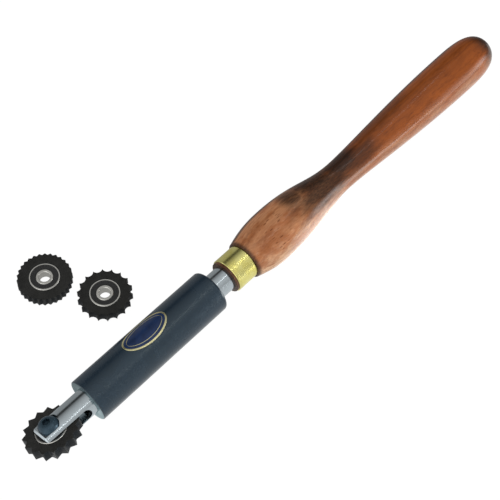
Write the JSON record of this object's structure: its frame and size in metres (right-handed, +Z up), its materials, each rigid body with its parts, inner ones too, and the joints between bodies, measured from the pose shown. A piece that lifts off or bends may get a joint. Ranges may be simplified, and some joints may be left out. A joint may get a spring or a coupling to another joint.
{
  "type": "woodturning spiralling tool",
  "caption": "Hand-held woodturning tool: a toothed cutter wheel on a ball bearing in a forked steel bar with a round barrel and a turned wooden handle, with two spare cutters.",
  "frame": {"origin": "on the supporting surface, below the middle of the bounding box of the tool and its two spare cutters", "axes": "+X from the mounted cutter to the handle, +Y towards the spare cutters, +Z up from the surface"},
  "size_m": [0.4732, 0.1342, 0.0417],
  "materials": {
    "ground_steel": "ground bright steel with fine lines round the bar",
    "slate_finish": "dark slate satin coating on steel, bare at the front face",
    "brass": "polished brass with fine turning lines",
    "stained_beech": "reddish brown stained and lacquered beech, scorched dark in places",
    "black_oxide_screw": "blue-black oxide",
    "black_cutter_steel": "black oxide on hardened steel",
    "bearing_steel": "polished bearing steel",
    "cage_nylon": "moulded nylon",
    "seal_rubber": "black nitrile rubber"
  },
  "bodies": {
    "tool": {"fork_bar": "ground_steel", "barrel_sleeve": "slate_finish", "ferrule": "brass", "handle": "stained_beech", "spacer_washers": "ground_steel", "pointed_cutter_inner_race": "bearing_steel"},
    "axle_screw": {"axle_screw": "black_oxide_screw"},
    "pointed_cutter": {"pointed_cutter": "black_cutter_steel", "pointed_cutter_outer_race": "bearing_steel", "pointed_cutter_seals": "seal_rubber"},
    "pointed_cage": {"pointed_cutter_cage": "cage_nylon", "pointed_cutter_balls": "bearing_steel"},
    "scalloped_cutter": {"scalloped_cutter": "black_cutter_steel", "scalloped_cutter_outer_race": "bearing_steel", "scalloped_cutter_seals": "seal_rubber"},
    "scalloped_inner": {"scalloped_cutter_inner_race": "bearing_steel"},
    "scalloped_cage": {"scalloped_cutter_cage": "cage_nylon", "scalloped_cutter_balls": "bearing_steel"},
    "fine_cutter": {"fine_cutter": "black_cutter_steel", "fine_cutter_outer_race": "bearing_steel", "fine_cutter_seals": "seal_rubber"},
    "fine_inner": {"fine_cutter_inner_race": "bearing_steel"},
    "fine_cage": {"fine_cutter_cage": "cage_nylon", "fine_cutter_balls": "bearing_steel"}
  },
  "joints": [
    {"name": "axle_screw_out", "type": "slide", "parent": "tool", "child": "axle_screw", "axis": [-0.0193, 0.3584, 0.9334], "range_m": [0, 0.02]},
    {"name": "pointed_cutter_spin", "type": "hinge", "parent": "tool", "child": "pointed_cutter", "pos_m": [-0.21735, -0.04755, 0.01528], "axis": [-0.0193, 0.3584, 0.9334], "continuous": true},
    {"name": "pointed_cage_roll", "type": "hinge", "parent": "tool", "child": "pointed_cage", "pos_m": [-0.21735, -0.04755, 0.01528], "axis": [-0.0193, 0.3584, 0.9334], "continuous": true},
    {"name": "scalloped_cutter_away", "type": "slide", "parent": "tool", "child": "scalloped_cutter", "axis": [1, 0, 0], "range_m": [0, 0.1]},
    {"name": "scalloped_inner_spin", "type": "hinge", "parent": "scalloped_cutter", "child": "scalloped_inner", "pos_m": [-0.12135, 0.00845, 0.0035], "axis": [0, 0, 1], "continuous": true},
    {"name": "scalloped_cage_roll", "type": "hinge", "parent": "scalloped_cutter", "child": "scalloped_cage", "pos_m": [-0.12135, 0.00845, 0.0035], "axis": [0, 0, 1], "continuous": true},
    {"name": "fine_cutter_away", "type": "slide", "parent": "tool", "child": "fine_cutter", "axis": [0, 1, 0], "range_m": [0, 0.05]},
    {"name": "fine_inner_spin", "type": "hinge", "parent": "fine_cutter", "child": "fine_inner", "pos_m": [-0.14195, 0.04785, 0.0035], "axis": [0, 0, 1], "continuous": true},
    {"name": "fine_cage_roll", "type": "hinge", "parent": "fine_cutter", "child": "fine_cage", "pos_m": [-0.14195, 0.04785, 0.0035], "axis": [0, 0, 1], "continuous": true}
  ],
  "couplings": [
    {"joint": "pointed_cage_roll", "follows": "pointed_cutter_spin", "ratio": 0.6323},
    {"joint": "scalloped_cage_roll", "follows": "scalloped_inner_spin", "ratio": 0.3677},
    {"joint": "fine_cage_roll", "follows": "fine_inner_spin", "ratio": 0.3677}
  ]
}
